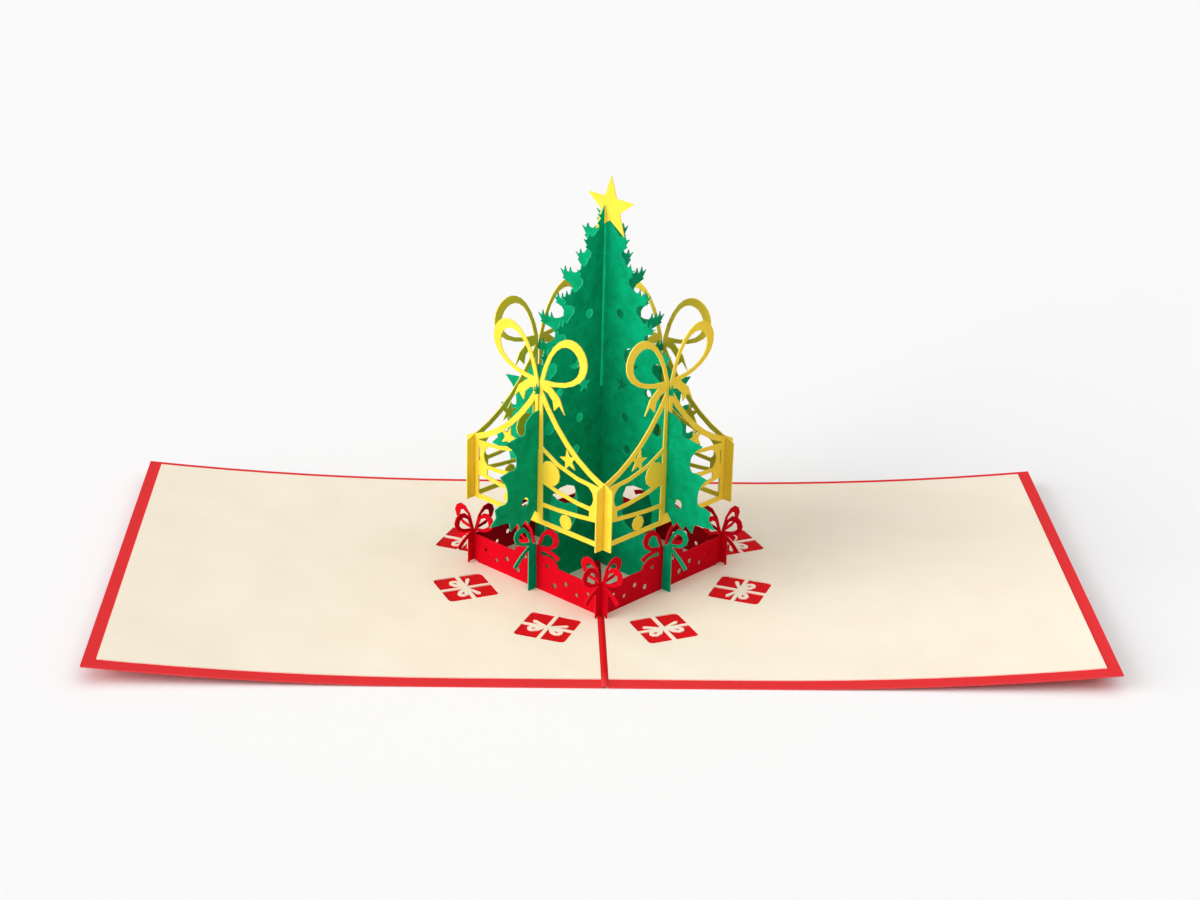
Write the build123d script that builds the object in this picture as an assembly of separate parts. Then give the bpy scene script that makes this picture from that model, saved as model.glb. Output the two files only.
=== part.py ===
from build123d import *
import os
from math import asin, cos, degrees, hypot, pi, radians, sin, sqrt

os.makedirs("parts", exist_ok=True)

# Standing card: every upright sheet has one thickness and one slot width
card_thick = 0.35
slack = 0.12
slot_width = card_thick + 2 * slack
half_slot = slot_width / 2
half_side = 27.7
set_back = 9.5
diag = 1 / sqrt(2)

# Box walls: the low red ring on the pages
box_tall = 9.4
box_tail = 2.6
box_knot = 13.6
box_bow = 0.48
corner_knot = 10.4
corner_bow = 0.44
corner_strand_out = 4.2
corner_strand_fall = 4.4
knot_half = 1.0
mound_long = 4.8
mound_tall = 2.9
mound_strand = 6.7
mound_star = 1.2
dot_count = 4
dot_first = 0.29
dot_step = 0.17
dot_low = 0.36
dot_high = 0.58
dot_radius = 1.0
dot_shrink = 0.12

# Pages: each one runs from the fold to its outer edge, and the fold lies along Y
page_width = 150.0
page_height = 150.0
cover_thick = 0.5
liner_thick = 0.3
page_top = cover_thick + liner_thick
flat_margin = 2.0
page_flat = (2 * half_side + box_tail) * diag + flat_margin
page_curl = 5.4
border_outer = 4.0
border_front = 4.6
border_back = 2.4
spine_half = 1.1
crease_half = 1.0
crease_rise = 0.6
fold_relief = crease_rise - liner_thick + slack
relief_half = 2.0

# Gifts cut through the liners, three on each page about the front and sides of the tree
gift_side = 16.4
gift_round = 1.3
gift_ribbon = 1.2
gift_turn = 21.5
gift_bow = 0.27
gift_eye = 0.32
gift_eye_share = 0.7
gift_loop_lean = radians(-30.0)
gift_tail_long = 6.4
gift_tail_wide = 1.3
gift_tail_lean = radians(26.0)
gift_forward = 2.4
gift_drift = 1.3
gift_side_x = 42.7
gift_side_y = 17.6
gift_end_x = 17.5
gift_end_y = 44.55

# Tree: rows of tufts above the garland, counted from the top
tree_top = 120.5
tip_half = 0.3
tuft_rows = 7
row_drop = 7.6
row_growth = 0.09
taper = 0.42
reach_first = 4.6
reach_step = 1.1
reach_sway = 0.9
tip_share = 0.37
tip_sway = 0.07
tip_long = 1.5
tip_rise = 0.6
notch_first = 1.0
notch_step = 0.2
notch_lip_share = 0.8
shelf_share = 0.3
shelf_sag = 0.5
spike_rise = 2.0
spike_waist = 0.5
spike_lean = 0.75
barb = 1.6
barb_share = 0.55
barb_out = 0.6
lap_tree = 61.0

# Boughs that pass out through the garland, counted from the top
shoulder_out = 30.5
shoulder_top = 59.8
shoulder_bulge = 2.5
bough_count = 3
bough_in = 33.4
bough_in_step = 3.6
bough_top = 55.5
bough_pitch = 10.2
bough_tip = 42.0
bough_tip_step = 2.0
bough_fall = 2.6
bough_root = 0.7
bough_low = 27.4
skirt_tip = 48.0
skirt_teeth = 3
skirt_tooth = 4.0
tooth_lean = 0.25

# Holes in the tree: shares of the sheet's half width, and a step down from the row they belong to
hole_near = 0.3
hole_inner = 0.5
hole_moon = 0.585
hole_far = 0.69
hole_drop = 2.5
hole_small = 1.6
hole_large = 2.3
moon_radius = 3.4
moon_bite = 3.1
bite_out = 2.0
bite_up = 1.4
hole_star = 3.0
window_wide = 12.4
window_tall = 15.4
window_round = 4.5

# Foot of the tree, outside the box
foot_width = 3.5
foot_top = 16.2
foot_bow = 0.42
foot_strand_out = 7.7
foot_strand_fall = 5.6
waist_in = 23.6
waist_mid = 20.0
body_top = 13.6
lap_foot = 8.5
lap_box = lap_foot - page_top

# Star on the tip
star_radius = 9.9
star_inner = 0.4
star_shift = 2.0
star_drop = 1.7
star_height = tree_top - star_drop
star_room = card_thick + 3 * slack

# Garland walls: the yellow ring that hangs half way up
garland_base = 23.0
garland_tall = 21.6
garland_tail = 3.4
garland_bar = 2.0
knot_height = 45.8
lap_garland = 24.5
post_top = 1.5
post_base = 2.4
rail = 1.6
swag = 1.9
thin_swag = 1.3
swag_pull = 10.8
swag_sag = 0.2
swag_levels = (0.88, 0.53, 0.41)
swag_rises = (0.29, 0.15, -0.1)
bauble = 4.0
bauble_height = 18.0
small_bauble = 2.5
small_bauble_out = 12.2
trim_star = 3.6
trim_star_out = 12.8
trim_star_share = 0.12
trim_star_tilt = 14.0
closing_wide = 6.0
closing_bite = 3.8
slit_half = 2.3

# Bows: one loop is drawn at full size for the garland and shrunk for the others
loop_length = 23.4
loop_lean = radians(39.3)
loop_spread = radians(37.2)
garland_eye = 0.75
small_eye = 0.62
eye_share = 0.44
tail_root = 1.1
tail_out = (10.8, -7.2)
tail_pull_out = (8.5, 1.1)
tail_notch = (8.5, -4.8)
tail_in = (6.4, -7.0)
tail_pull_in = (6.7, -1.7)
strand = 1.0
strand_end = 1.6

# Curves are cut as a few chords, as a plotter cuts them
loop_chords = 18
small_loop_chords = 8
gift_loop_chords = 7
gift_eye_chords = 5
curl_chords = 8
swag_chords = 6
ribbon_chords = 3
notch_chords = 3
corner_chords = 2
round_sides = 12
hole_sides = 8
dot_sides = 6


# A point on the bend that a row of pulls describes, from share 0 to share 1
def bend(share, *pulls):
    while len(pulls) > 1:
        pairs = zip(pulls, pulls[1:])
        pulls = [(a[0] + (b[0] - a[0]) * share, a[1] + (b[1] - a[1]) * share) for a, b in pairs]
    return pulls[0]


def chords(count, *pulls):
    return [bend(i / count, *pulls) for i in range(count + 1)]


def poly(*points):
    return make_face(Polyline(*points, close=True))


def block(x0, x1, y0, y1):
    return Pos((x0 + x1) / 2, (y0 + y1) / 2) * Rectangle(x1 - x0, y1 - y0)


def oval(x, y, wide, tall, sides):
    turns = [2 * pi * i / sides for i in range(sides)]
    return poly(*[(x + wide * cos(turn), y + tall * sin(turn)) for turn in turns])


def disc(x, y, radius, sides):
    return oval(x, y, radius, radius, sides)


def soft_box(wide, tall, round_by):
    points = []
    for quarter in range(4):
        x_mid = (wide / 2 - round_by) * (1 if quarter in (0, 3) else -1)
        y_mid = (tall / 2 - round_by) * (1 if quarter in (0, 1) else -1)
        for step in range(corner_chords + 1):
            turn = pi / 2 * (quarter + step / corner_chords)
            points.append((x_mid + round_by * cos(turn), y_mid + round_by * sin(turn)))
    return poly(*points)


def star_shape(x, y, radius, tilt=0):
    points = []
    for i in range(10):
        reach = radius if i % 2 == 0 else radius * star_inner
        turn = pi / 2 + i * pi / 5 + radians(tilt)
        points.append((x + reach * cos(turn), y + reach * sin(turn)))
    return poly(*points)


def both_sides(shape):
    return shape + mirror(shape, about=Plane.YZ)


# A ribbon follows one bend from start to end and may taper
def ribbon(start, pull, end, wide_start, wide_end, count=ribbon_chords):
    def side(a, b, wide):
        run = hypot(b[0] - a[0], b[1] - a[1])
        return ((a[1] - b[1]) / run * wide / 2, (b[0] - a[0]) / run * wide / 2)

    wide_middle = (wide_start + wide_end) / 2
    offsets = (side(start, pull, wide_start), side(start, end, wide_middle), side(pull, end, wide_end))
    pulls = list(zip((start, pull, end), offsets))
    upper = chords(count, *[(p[0] + n[0], p[1] + n[1]) for p, n in pulls])
    lower = chords(count, *[(p[0] - n[0], p[1] - n[1]) for p, n in pulls])
    return poly(*upper, *lower[::-1])


# One loop of a bow leans out to the right; its far point lies at 3/4 of the way to its two pulls
def petal(size, count):
    reach = size * loop_length / (0.75 * cos(loop_spread))
    low = (reach * cos(loop_lean - loop_spread), reach * sin(loop_lean - loop_spread))
    high = (reach * cos(loop_lean + loop_spread), reach * sin(loop_lean + loop_spread))
    return poly(*chords(count, (0, 0), low, high, (0, 0))[1:])


def eyelet(size, eye, share, count):
    away = size * loop_length * (1 - eye) * share
    return Pos(away * cos(loop_lean), away * sin(loop_lean)) * petal(size * eye, count)


def bow_loop(knot, size, eye, count):
    return Pos(*knot) * (petal(size, count) - eyelet(size, eye, eye_share, count - 2))


# A tail falls from the knot and ends in a notch
def bow_tail(knot):
    def spot(x, y):
        return (knot[0] + x, knot[1] + y)

    outer = chords(ribbon_chords, spot(0, tail_root), spot(*tail_pull_out), spot(*tail_out))
    inner = chords(ribbon_chords, spot(*tail_in), spot(*tail_pull_in), spot(0, -tail_root))
    return poly(*outer, spot(*tail_notch), *inner)


# Sheets of one page: flat under the tree, then lifting along one arc to the outer edge
curl_run = page_width - page_flat
curl_radius = (curl_run ** 2 + page_curl ** 2) / (2 * page_curl)
curl_turn = asin(curl_run / curl_radius)


def page_sheet(low, thick, x_in):
    def arc(height):
        radius = curl_radius - height
        turns = [curl_turn * i / curl_chords for i in range(curl_chords + 1)]
        return [(page_flat + radius * sin(turn), curl_radius - radius * cos(turn)) for turn in turns]

    high = low + thick
    return poly((x_in, low), *arc(low), *arc(high)[::-1], (x_in, high))


def along_fold(section, y_front, y_back):
    plane = Plane(origin=(0, y_back, 0), x_dir=(1, 0, 0), z_dir=(0, -1, 0))
    return extrude(plane * section, amount=y_back - y_front)


# The cover is one sheet with a rounded ridge along its fold
y_front = -page_height / 2
y_back = page_height / 2
page = page_sheet(0, cover_thick, crease_half)
crease_top = (0, cover_thick + crease_rise)
crease_over = ThreePointArc((crease_half, cover_thick), crease_top, (-crease_half, cover_thick))
crease_under = ThreePointArc((-crease_half, 0), (0, crease_rise), (crease_half, 0))
crease_left = Line((-crease_half, cover_thick), (-crease_half, 0))
crease_right = Line((crease_half, 0), (crease_half, cover_thick))
crease = make_face(Curve() + [crease_over, crease_left, crease_under, crease_right])
cover = along_fold(both_sides(page) + crease, y_front, y_back)


# A gift is a square window crossed by ribbons, with a bow left standing on the crossing
def gift_tail():
    def spot(along, across):
        x = along * cos(gift_tail_lean) - across * sin(gift_tail_lean)
        return (x, along * sin(gift_tail_lean) + across * cos(gift_tail_lean))

    end = gift_tail_long - gift_tail_wide / 2
    wide = gift_tail_wide / 2
    root = wide / 2
    return poly(spot(0, -root), spot(end, -wide), spot(gift_tail_long, 0), spot(end, wide), spot(0, root))


def gift(x, y, turn):
    long = gift_side + gift_ribbon
    lean = Rot(0, 0, degrees(gift_loop_lean - loop_lean))
    window = soft_box(gift_side, gift_side, gift_round)
    window -= Rectangle(gift_ribbon, long)
    window -= Rectangle(long, gift_ribbon)
    window -= both_sides(lean * petal(gift_bow, gift_loop_chords) + gift_tail())
    window += both_sides(lean * eyelet(gift_bow, gift_eye, gift_eye_share, gift_eye_chords))
    return Pos(x, y) * Rot(0, 0, turn) * window


# The pattern of gifts is the same on both pages, but it was cut a little to the right of the fold
liner_section = page_sheet(cover_thick, liner_thick, spine_half)
liner_section -= block(page_width - border_outer, page_width, 0, 2 * page_curl)
right_page = along_fold(liner_section, y_front + border_front, y_back - border_back)
gift_middle = set_back - gift_forward
gifts = gift(gift_end_x, gift_middle - gift_end_y, gift_turn)
gifts += gift(gift_side_x, gift_middle - gift_side_y, 90 - gift_turn)
gifts += gift(gift_side_x, gift_middle + gift_side_y, 90 + gift_turn)
drift = Pos(gift_drift, 0)
left_gifts = mirror(gifts, about=Plane.YZ)
left_page = mirror(right_page, about=Plane.YZ)
right_liner = right_page - extrude(drift * gifts, amount=2 * page_top)
left_liner = left_page - extrude(drift * left_gifts, amount=2 * page_top)


# Rows of the tree: each begins at a round notch and ends at the next one down
def row_notch(row):
    fall = row_drop * row + row_growth * row ** 2
    return (max(taper * fall, tip_half), tree_top - fall)


def notch_radius(row):
    return notch_first + notch_step * row


def notch_lip(row):
    x, z = row_notch(row)
    if row == 0:
        return (x, z)
    return (x + notch_lip_share * notch_radius(row), z - notch_radius(row))


def notch_brow(row):
    x, z = row_notch(row)
    return (x + notch_radius(row) / 2, z + notch_radius(row))


def round_notch(row):
    x, z = row_notch(row)
    r = notch_radius(row)
    return chords(notch_chords, notch_brow(row), (x - r / 3, z + r), (x - r / 3, z - r), notch_lip(row))


# A tuft: a sagging shelf, spikes that lean out, a long tip and a barb under it
def tuft(row):
    x, z = row_notch(row)
    drop = z - row_notch(row + 1)[1]
    sway = (-1) ** row
    tip = (x + reach_first + reach_step * row - reach_sway * sway, z - drop * (tip_share + tip_sway * sway))
    start = notch_lip(row)
    root = (tip[0] - tip_long, tip[1] - tip_rise)
    sag = ((start[0] + root[0]) / 2, min(start[1], root[1]) - shelf_sag)
    spikes = (row + 1) // 2
    points = []
    for i in range(spikes):
        pitch = (1 - shelf_share) / spikes
        foot = shelf_share + pitch * i
        waist = bend(foot + pitch * spike_waist, start, sag, root)
        top = bend(foot + pitch * spike_lean, start, sag, root)
        points.append(bend(foot, start, sag, root))
        points.append((waist[0], waist[1] + spike_rise / 3))
        points.append((top[0], top[1] + spike_rise))
    brow = notch_brow(row + 1)
    under = (tip[0] - barb, tip[1] + (brow[1] - tip[1]) * barb_share)
    points += [root, tip, under, (under[0] + barb_out, under[1] - barb_out)]
    return points + round_notch(row + 1)


def bough_notch(k):
    return (bough_in + bough_in_step * k, bough_top - bough_pitch * k)


def bough_end(k):
    return (bough_tip + bough_tip_step * k, bough_top - bough_fall - bough_pitch * k)


# A bough: its rounded root, its tip and the hollow back to the next root
def bough(k):
    x, z = bough_notch(k)
    end = bough_end(k)
    after = bough_notch(k + 1)
    lip = (x + 2 * barb, z - bough_fall * bough_root)
    points = chords(notch_chords, (x, z), (x - barb / 4, z - bough_fall), lip)
    if k == bough_count - 1:
        return points + [end]
    hollow = (after[0] - barb / 4, (end[1] + after[1]) / 2)
    return points + chords(notch_chords, end, hollow, after)[:-1]


# The skirt: the longest tip, then teeth hanging down towards the garland
def skirt():
    end = bough_end(bough_count - 1)
    inner = half_side + 2 * slot_width
    start = skirt_tip - 2 * skirt_tooth
    tooth = (start - inner) / skirt_teeth
    points = [((end[0] + skirt_tip) / 2 - barb, (end[1] + bough_low) / 2), (skirt_tip, bough_low)]
    for i in range(skirt_teeth):
        points.append((start - tooth * i, bough_low - skirt_tooth / (2 if i else 6)))
        points.append((start - tooth * (i + tooth_lean), bough_low - skirt_tooth))
    return points + [(inner, bough_low)]


def tree_half():
    points = [(0, tree_top), (tip_half, tree_top)]
    for row in range(tuft_rows):
        points += tuft(row)
    first = bough_notch(0)
    bulge = ((shoulder_out + first[0]) / 2 + shoulder_bulge, (shoulder_top + first[1]) / 2)
    points += chords(notch_chords, (shoulder_out, shoulder_top), bulge, first)[:-1]
    for k in range(bough_count):
        points += bough(k)
    points += skirt()
    # the waist, the lower body and the foot outside the box wall
    above = points[-1]
    waist = (2 * waist_in - (above[0] + half_side) / 2, waist_mid)
    points += chords(notch_chords, above, waist, (half_side, body_top))[1:]
    foot_out = half_side + foot_width
    points += [(half_side, foot_top), (foot_out, foot_top), (foot_out, page_top), (0, page_top)]
    return poly(*points)


def tree_holes():
    def at(anchor, share, drop):
        return (anchor[0] * share, anchor[1] - drop)

    lap = (half_side, lap_tree)
    moon = at(row_notch(6), hole_moon, -hole_drop / 2)
    bite = (moon[0] + bite_out, moon[1] + bite_up)
    holes = disc(*moon, moon_radius, round_sides) - disc(*bite, moon_bite, round_sides)
    holes += disc(*at(row_notch(4), hole_inner, hole_drop), hole_small, hole_sides)
    holes += star_shape(*at(lap, hole_near, -hole_drop), hole_star)
    holes += disc(*at(lap, hole_far, -hole_drop), hole_small, hole_sides)
    holes += disc(*at(bough_notch(0), hole_near, hole_drop), hole_small, hole_sides)
    holes += disc(*at(bough_notch(0), hole_far, hole_drop), hole_large, hole_sides)
    holes += disc(*at(bough_notch(1), hole_near, hole_drop), hole_small, hole_sides)
    holes += disc(*at((skirt_tip, bough_low), hole_far, -skirt_tooth), hole_small, hole_sides)
    window = at((waist_in, waist_mid), hole_far, -skirt_tooth)
    holes += Pos(*window) * soft_box(window_wide, window_tall, window_round)
    return holes


def foot_bows():
    knot = (half_side + foot_width / 2, foot_top - slack)
    tail_end = (knot[0] + foot_strand_out, knot[1] - foot_strand_fall)
    loop = bow_loop(knot, foot_bow, small_eye, small_loop_chords)
    return loop + ribbon(knot, (knot[0] + foot_width, knot[1] - strand), tail_end, strand, strand_end)


tree_side = tree_half() - tree_holes() + foot_bows()
tree_side -= block(half_side - half_slot, half_side + half_slot, lap_foot, foot_top + foot_width)
tree_side -= block(half_side - half_slot, half_side + half_slot, waist_mid, garland_base + lap_garland)
tree_both = both_sides(tree_side)
tree_both -= block(-relief_half, relief_half, 0, page_top + fold_relief)
panel_a_shape = tree_both - block(-half_slot - star_room, half_slot, lap_tree, tree_top + slack)
panel_b_shape = tree_both - block(-half_slot, half_slot, 0, lap_tree)

# Directions in the page: panel A runs front left to back right, panel B front right to back left
dir_a = (diag, diag, 0)
dir_b = (diag, -diag, 0)
middle = (0, set_back, 0)


def upright(shape, origin, along):
    plane = Plane(origin=origin, x_dir=along, z_dir=(along[1], -along[0], 0))
    return extrude(plane * shape, amount=card_thick / 2, both=True)


tree_panel_a = upright(panel_a_shape, middle, dir_a)
tree_panel_b = upright(panel_b_shape, middle, dir_b)

# The star is stuck to the front of panel B and passes through the wide upper slot of panel A
star_sheet = star_shape(star_shift, star_height, star_radius)
star = upright(star_sheet, (-card_thick * diag, set_back - card_thick * diag, 0), dir_b)


# Garland: one half of a wall, drawn from its middle to past its corner
def garland_half():
    end = half_side + garland_tail
    bar_in = half_side - garland_bar
    swag_end = bar_in + garland_bar / 2
    sagging = garland_tall + swag_sag * (knot_height - garland_tall)
    star_level = garland_tall + trim_star_share * (knot_height - garland_tall)
    knot = (0, knot_height)
    pieces = [block(0, end - slack, 0, rail), block(bar_in, half_side, 0, garland_tall)]
    tail_top = garland_tall - garland_tail / 2
    pieces.append(poly((half_side, 0), (end, 0), (end, tail_top), (half_side, garland_tall)))
    pieces.append(poly((0, 0), (post_base, 0), (post_top, knot_height - rail), (0, knot_height)))
    top = (swag_end, garland_tall - swag / 2)
    pieces.append(ribbon((slack, knot_height - rail), (swag_pull, sagging), top, swag, swag, swag_chords))
    for level_share, rise_share in zip(swag_levels, swag_rises):
        level = garland_tall * level_share
        start = level + garland_tall * rise_share
        pull = (swag_pull, min(level, start))
        pieces.append(ribbon((post_top, start), pull, (swag_end, level), thin_swag, thin_swag))
    pieces.append(disc(bauble + thin_swag, bauble_height, bauble, round_sides))
    pieces.append(disc(small_bauble_out, bauble, small_bauble, hole_sides))
    pieces.append(star_shape(trim_star_out, star_level, trim_star, trim_star_tilt))
    pieces.append(closing(bar_in))
    pieces.append(bow_loop(knot, 1, garland_eye, loop_chords))
    pieces.append(bow_tail(knot))
    return Sketch() + pieces


# Rounded ends close two of the garland's openings, with a slit beside the corner bar
def closing(bar_in):
    upper, middle_level, lower = [garland_tall * share for share in swag_levels]
    centre = (upper + middle_level) / 2
    tall = (upper - middle_level) / 2
    shape = block(bar_in - closing_wide, bar_in + slack, middle_level, upper)
    shape -= oval(bar_in - closing_wide, centre, closing_bite, tall, round_sides)
    shape -= block(bar_in - 2 * half_slot, bar_in, centre - slit_half, centre + slit_half)
    shape += block(bar_in - closing_bite, bar_in + slack, lower, middle_level)
    return shape


garland_shape = both_sides(garland_half())
garland_shape -= block(-half_slot, half_slot, lap_garland, knot_height + bauble)


def corner_slots(low, high):
    return both_sides(block(half_side - half_slot, half_side + half_slot, low, high))


garland_mid = garland_tall / 2
garland_low_slot = Pos(0, garland_base) * (garland_shape - corner_slots(-slack, garland_mid))
garland_high_slot = Pos(0, garland_base) * (garland_shape - corner_slots(garland_mid, garland_tall + slack))


# Box: one half of a low wall with a bow in its middle and a bow on its corner
def box_half():
    end = half_side + box_tail
    knot = (0, box_knot)
    corner = (half_side, corner_knot)
    pieces = [block(0, end, 0, box_tall), block(0, 2 * knot_half, box_tall - knot_half, box_knot)]
    mound = oval(mound_long, box_tall, mound_long, mound_tall, round_sides)
    pieces.append(mound - block(0, end, 0, box_tall - knot_half))
    pieces.append(bow_loop(knot, box_bow, small_eye, small_loop_chords))
    pieces.append(block(0, knot_half, box_knot - knot_half, box_knot + knot_half))
    tail_end = (2 * mound_long, box_knot - knot_half)
    pieces.append(ribbon(knot, (mound_strand, box_knot + knot_half), tail_end, strand, strand_end))
    corner_loops = both_sides(bow_loop((0, 0), corner_bow, small_eye, small_loop_chords))
    pieces.append(Pos(*corner) * corner_loops)
    corner_top = corner_knot + knot_half / 2
    pieces.append(block(half_side - knot_half, half_side + knot_half, box_tall - knot_half, corner_top))
    corner_end = (end + corner_strand_out, corner_knot - corner_strand_fall)
    pieces.append(ribbon(corner, (end + strand, corner_knot - strand), corner_end, strand, strand_end))
    shape = Sketch() + pieces
    shape -= star_shape(mound_long, box_tall - knot_half / 2, mound_star)
    for i in range(dot_count):
        x = half_side * (dot_first + dot_step * i)
        z = box_tall * (dot_high if i % 2 else dot_low)
        shape -= disc(x, z, dot_radius - dot_shrink * i, dot_sides)
    return shape


box_shape = both_sides(box_half())
box_shape -= block(-half_slot, half_slot, 0, lap_box)
box_shape -= both_sides(block(half_side - relief_half, half_side + relief_half, 0, fold_relief))
box_mid = box_tall / 2
box_low_slot = Pos(0, page_top) * (box_shape - corner_slots(-slack, box_mid))
box_high_slot = Pos(0, page_top) * (box_shape - corner_slots(box_mid, corner_knot + box_tall))


# A wall stands square to the panel that passes through its middle
def wall(shape, x_sign, y_sign, along):
    return upright(shape, (x_sign * half_side * diag, set_back + y_sign * half_side * diag, 0), along)


export_step(cover, "parts/cover.step")
export_step(left_liner, "parts/left_liner.step")
export_step(right_liner, "parts/right_liner.step")
export_step(tree_panel_a, "parts/tree_panel_a.step")
export_step(tree_panel_b, "parts/tree_panel_b.step")
export_step(star, "parts/star.step")
export_step(wall(garland_low_slot, -1, -1, dir_b), "parts/garland_front_left.step")
export_step(wall(garland_high_slot, 1, -1, dir_a), "parts/garland_front_right.step")
export_step(wall(garland_low_slot, 1, 1, dir_b), "parts/garland_back_right.step")
export_step(wall(garland_high_slot, -1, 1, dir_a), "parts/garland_back_left.step")
export_step(wall(box_low_slot, -1, -1, dir_b), "parts/box_front_left.step")
export_step(wall(box_high_slot, 1, -1, dir_a), "parts/box_front_right.step")
export_step(wall(box_low_slot, 1, 1, dir_b), "parts/box_back_right.step")
export_step(wall(box_high_slot, -1, 1, dir_a), "parts/box_back_left.step")
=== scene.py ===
import bpy
import bmesh
from math import radians
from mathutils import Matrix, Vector

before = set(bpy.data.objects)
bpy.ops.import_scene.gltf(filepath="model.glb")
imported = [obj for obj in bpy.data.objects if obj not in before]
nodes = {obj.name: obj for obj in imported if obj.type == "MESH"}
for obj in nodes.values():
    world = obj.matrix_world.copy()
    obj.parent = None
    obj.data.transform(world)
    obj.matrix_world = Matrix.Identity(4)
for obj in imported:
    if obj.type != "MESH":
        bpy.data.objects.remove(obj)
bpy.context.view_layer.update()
scene = bpy.context.scene
print("frame loaded:", len(nodes), "nodes")


# Makes one shader node: outputs are linked, plain values are set on their sockets
def addNode(tree, kind, inputs=None, **settings):
    node = tree.nodes.new(kind)
    for key, value in settings.items():
        setattr(node, key, value)
    for socket, source in (inputs or {}).items():
        if hasattr(source, "is_output"):
            tree.links.new(source, node.inputs[socket])
        else:
            node.inputs[socket].default_value = source
    return node


# Sockets 6 and 7 and output 2 are a Mix node's colours
def mixColour(tree, amount, under, over):
    mix = addNode(tree, "ShaderNodeMix", {"Factor": amount, 6: under, 7: over}, data_type="RGBA")
    return mix.outputs[2]


# How the stock is made, the same in every colour
stockGrain = {"mottleDetail": 4.0, "mottleBreak": 0.6, "mottleLow": 0.3, "mottleHigh": 0.7,
              "fibreDetail": 3.0, "fibreBreak": 0.7, "fibreLow": 0.35, "fibreHigh": 0.75, "fibreDepth": 0.0001,
              "warpScale": 45.0, "warpDetail": 1.0, "roughSpread": 0.06, "edgeFacing": 0.7}


# A cut edge faces away from the sheet's own normal
def cutEdge(tree, sheetNormal, amount):
    normal = addNode(tree, "ShaderNodeNewGeometry").outputs["True Normal"]
    facing = addNode(tree, "ShaderNodeVectorMath", {0: normal, 1: sheetNormal}, operation="DOT_PRODUCT")
    flatness = addNode(tree, "ShaderNodeMath", {0: facing.outputs["Value"]}, operation="ABSOLUTE")
    isEdge = addNode(tree, "ShaderNodeMath", {0: flatness.outputs[0], 1: stockGrain["edgeFacing"]},
                     operation="LESS_THAN")
    return addNode(tree, "ShaderNodeMath", {0: isEdge.outputs[0], 1: amount}, operation="MULTIPLY").outputs[0]


# The cover turns a little paler along its outer border, fading in over a few millimetres
def palerRim(tree, coord, rim):
    place = addNode(tree, "ShaderNodeVectorMath", {0: coord}, operation="ABSOLUTE").outputs[0]
    past = addNode(tree, "ShaderNodeVectorMath", {0: place, 1: rim["inner"]}, operation="SUBTRACT").outputs[0]
    axes = addNode(tree, "ShaderNodeSeparateXYZ", {0: past})
    reach = addNode(tree, "ShaderNodeMath", {0: axes.outputs[0], 1: axes.outputs[1]}, operation="MAXIMUM")
    return addNode(tree, "ShaderNodeMapRange", {"Value": reach.outputs[0], "From Max": rim["fade"],
                                                "To Max": rim["amount"]}).outputs[0]


# Coated card: dyed stock with fibres, a soft mottle, paler cut edges and a sheet that isn't quite flat
def cardMaterial(name, look, sheetNormal):
    mat = bpy.data.materials.new(name)
    mat.use_nodes = True
    tree = mat.node_tree
    tree.nodes.clear()
    coord = addNode(tree, "ShaderNodeTexCoord").outputs["Object"]
    mottle = addNode(tree, "ShaderNodeTexNoise", {
        "Vector": coord, "Scale": look["mottleScale"],
        "Detail": stockGrain["mottleDetail"], "Roughness": stockGrain["mottleBreak"]}).outputs["Fac"]
    fibre = addNode(tree, "ShaderNodeTexNoise", {
        "Vector": coord, "Scale": look["fibreScale"],
        "Detail": stockGrain["fibreDetail"], "Roughness": stockGrain["fibreBreak"]}).outputs["Fac"]
    clouds = addNode(tree, "ShaderNodeMapRange", {
        "Value": mottle, "From Min": stockGrain["mottleLow"], "From Max": stockGrain["mottleHigh"]}).outputs[0]
    hairs = addNode(tree, "ShaderNodeMapRange", {
        "Value": fibre, "From Min": stockGrain["fibreLow"], "From Max": stockGrain["fibreHigh"],
        "To Max": look["fibreAmount"]}).outputs[0]
    colour = mixColour(tree, clouds, look["dark"], look["light"])
    colour = mixColour(tree, hairs, colour, look["fleck"])
    if "rim" in look:
        colour = mixColour(tree, palerRim(tree, coord, look["rim"]), colour, look["rim"]["colour"])
    colour = mixColour(tree, cutEdge(tree, sheetNormal, look["edgeAmount"]), colour, look["edge"])
    rough = addNode(tree, "ShaderNodeMapRange", {
        "Value": mottle, "To Min": look["roughness"] - stockGrain["roughSpread"],
        "To Max": look["roughness"] + stockGrain["roughSpread"]}).outputs[0]
    warp = addNode(tree, "ShaderNodeTexNoise", {
        "Vector": coord, "Scale": stockGrain["warpScale"], "Detail": stockGrain["warpDetail"]}).outputs["Fac"]
    sheet = addNode(tree, "ShaderNodeBump", {
        "Height": warp, "Strength": 1.0, "Distance": look["warp"]}).outputs[0]
    bump = addNode(tree, "ShaderNodeBump", {
        "Height": fibre, "Strength": look["bump"], "Distance": stockGrain["fibreDepth"],
        "Normal": sheet}).outputs[0]
    shader = addNode(tree, "ShaderNodeBsdfPrincipled", {
        "Base Color": colour, "Roughness": rough, "Normal": bump, "Specular IOR Level": look["gloss"]})
    addNode(tree, "ShaderNodeOutputMaterial", {"Surface": shader.outputs[0]})
    return mat


def dress(names, mat):
    for name in names:
        for slot in nodes[name].material_slots:
            slot.material = mat
        if not nodes[name].material_slots:
            nodes[name].data.materials.append(mat)


# Which way each sheet faces, for its cut edges
diagonal = 0.5 ** 0.5
normalPage = (0.0, 0.0, 1.0)
normalA = (diagonal, -diagonal, 0.0)  # panel A and the two walls parallel to it
normalB = (diagonal, diagonal, 0.0)  # panel B and the two walls parallel to it
wallsA = ("front_right", "back_left")
wallsB = ("front_left", "back_right")

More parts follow.
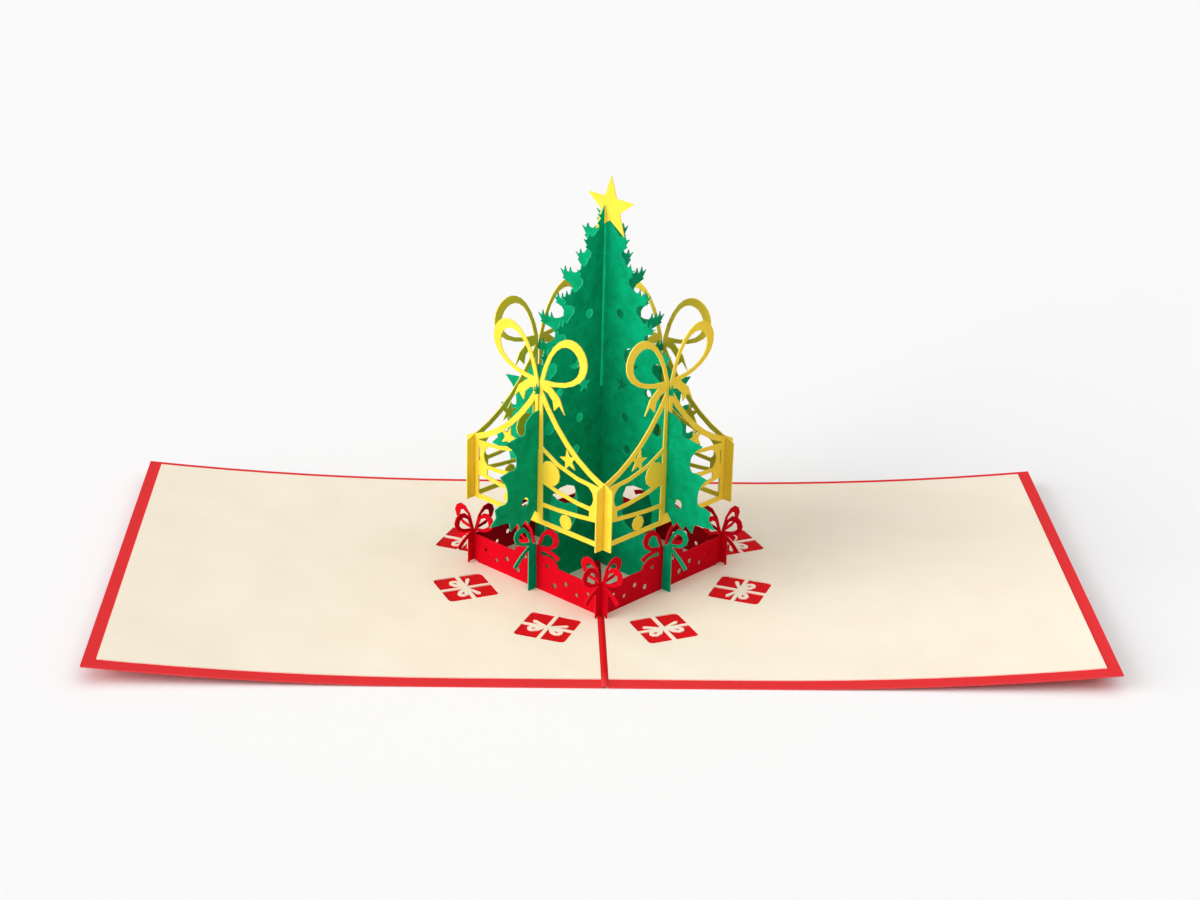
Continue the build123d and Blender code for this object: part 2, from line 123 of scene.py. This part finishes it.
coverLook = {"dark": (0.63, 0.004, 0.007, 1), "light": (0.71, 0.008, 0.013, 1), "fleck": (0.76, 0.025, 0.03, 1),
             "edge": (0.75, 0.1, 0.1, 1), "edgeAmount": 0.3, "mottleScale": 60.0, "fibreScale": 1800.0,
             "fibreAmount": 0.2, "roughness": 0.75, "bump": 0.12, "gloss": 0.06, "warp": 0.0006,
             "rim": {"inner": (0.141, 0.066, 0.0), "fade": 0.006, "amount": 0.7,
                     "colour": (0.78, 0.045, 0.05, 1)}}
dress(["cover"], cardMaterial("coverCard", coverLook, normalPage))

linerLook = {"dark": (0.93, 0.83, 0.675, 1), "light": (0.96, 0.87, 0.725, 1), "fleck": (0.87, 0.75, 0.58, 1),
             "edge": (0.98, 0.92, 0.8, 1), "edgeAmount": 0.3, "mottleScale": 40.0, "fibreScale": 1500.0,
             "fibreAmount": 0.12, "roughness": 0.8, "bump": 0.1, "gloss": 0.06, "warp": 0.0006}
dress(["left_liner", "right_liner"], cardMaterial("linerPaper", linerLook, normalPage))

treeLook = {"dark": (0.0, 0.25, 0.093, 1), "light": (0.0, 0.405, 0.187, 1), "fleck": (0.002, 0.45, 0.23, 1),
            "edge": (0.05, 0.55, 0.32, 1), "edgeAmount": 0.5, "mottleScale": 260.0, "fibreScale": 900.0,
            "fibreAmount": 0.3, "roughness": 0.8, "bump": 0.15, "gloss": 0.05, "warp": 0.0022}
dress(["tree_panel_a"], cardMaterial("treeCardA", treeLook, normalA))
dress(["tree_panel_b"], cardMaterial("treeCardB", treeLook, normalB))

trimLook = {"dark": (0.95, 0.62, 0.03, 1), "light": (0.99, 0.71, 0.062, 1), "fleck": (1.0, 0.80, 0.14, 1),
            "edge": (1.0, 0.88, 0.25, 1), "edgeAmount": 0.4, "mottleScale": 80.0, "fibreScale": 1500.0,
            "fibreAmount": 0.25, "roughness": 0.75, "bump": 0.12, "gloss": 0.06, "warp": 0.0015}
dress(["garland_" + wall for wall in wallsA], cardMaterial("trimCardA", trimLook, normalA))
dress(["garland_" + wall for wall in wallsB] + ["star"], cardMaterial("trimCardB", trimLook, normalB))

boxLook = {"dark": (0.55, 0.0, 0.006, 1), "light": (0.67, 0.0, 0.012, 1), "fleck": (0.75, 0.002, 0.02, 1),
           "edge": (0.8, 0.04, 0.04, 1), "edgeAmount": 0.4, "mottleScale": 80.0, "fibreScale": 1500.0,
           "fibreAmount": 0.2, "roughness": 0.75, "bump": 0.12, "gloss": 0.05, "warp": 0.0012}
dress(["box_" + wall for wall in wallsA], cardMaterial("boxCardA", boxLook, normalA))
dress(["box_" + wall for wall in wallsB], cardMaterial("boxCardB", boxLook, normalB))
print("card dressed")

# Floor: one pale sheet that runs far behind the card and takes its shadow
floorLook = {"colour": (0.94, 0.933, 0.933, 1), "roughness": 0.9, "gloss": 0.1, "size": 6.0}


def makeFloor():
    mesh = bpy.data.meshes.new("floor")
    bm = bmesh.new()
    bmesh.ops.create_grid(bm, x_segments=1, y_segments=1, size=floorLook["size"])
    bm.to_mesh(mesh)
    bm.free()
    floor = bpy.data.objects.new("floor", mesh)
    scene.collection.objects.link(floor)
    mat = bpy.data.materials.new("floorPaper")
    mat.use_nodes = True
    shader = mat.node_tree.nodes["Principled BSDF"]
    shader.inputs["Base Color"].default_value = floorLook["colour"]
    shader.inputs["Roughness"].default_value = floorLook["roughness"]
    shader.inputs["Specular IOR Level"].default_value = floorLook["gloss"]
    mesh.materials.append(mat)


makeFloor()

# Soft studio: a wide key low on the left, a broad top light, a weak fill on the right and a dim white room
keyPlan = {"toward": (-0.86, -0.40, 0.25), "strength": 3.35, "softness": 58.0}
topPlan = {"toward": (0.1, -0.1, 1.0), "strength": 1.72, "softness": 100.0}
fillPlan = {"toward": (1.0, -0.1, 0.4), "strength": 0.2, "softness": 80.0}
roomPlan = {"colour": (1, 1, 1, 1), "light": 0.16, "seen": 0.93}  # the light it gives, and how white it looks


def hangLamp(name, plan):
    lamp = bpy.data.lights.new(name, "SUN")
    lamp.energy = plan["strength"]
    lamp.angle = radians(plan["softness"])
    holder = bpy.data.objects.new(name, lamp)
    scene.collection.objects.link(holder)
    holder.rotation_euler = Vector(plan["toward"]).to_track_quat("Z", "Y").to_euler()


def lightRoom():
    world = bpy.data.worlds.new("room")
    scene.world = world
    world.use_nodes = True
    tree = world.node_tree
    tree.nodes.clear()
    room = addNode(tree, "ShaderNodeBackground", {"Color": roomPlan["colour"], "Strength": roomPlan["light"]})
    sweep = addNode(tree, "ShaderNodeBackground", {"Color": roomPlan["colour"], "Strength": roomPlan["seen"]})
    path = addNode(tree, "ShaderNodeLightPath").outputs
    shiny = addNode(tree, "ShaderNodeMath", {0: path["Is Glossy Ray"], 1: path["Is Transmission Ray"]},
                    operation="MAXIMUM")
    seen = addNode(tree, "ShaderNodeMath", {0: path["Is Camera Ray"], 1: shiny.outputs[0]}, operation="MAXIMUM")
    sky = addNode(tree, "ShaderNodeMixShader", {0: seen.outputs[0], 1: room.outputs[0], 2: sweep.outputs[0]})
    addNode(tree, "ShaderNodeOutputWorld", {"Surface": sky.outputs[0]})


hangLamp("key", keyPlan)
hangLamp("top", topPlan)
hangLamp("fill", fillPlan)
lightRoom()
print("studio lit")

# Camera fitted to the photograph's page corners
cameraPlan = {"place": (-0.028985, -0.720327, 0.343208), "turn": (67.3935, -1.4422, -1.6706),
              "lens": 75.893, "sensor": 36.0, "nearest": 0.01}
eye = bpy.data.cameras.new("camera")
eye.lens = cameraPlan["lens"]
eye.sensor_width = cameraPlan["sensor"]
eye.clip_start = cameraPlan["nearest"]
eyeHolder = bpy.data.objects.new("camera", eye)
scene.collection.objects.link(eyeHolder)
eyeHolder.location = cameraPlan["place"]
eyeHolder.rotation_euler = [radians(angle) for angle in cameraPlan["turn"]]
scene.camera = eyeHolder
scene.view_settings.view_transform = "Standard"
print("camera placed")
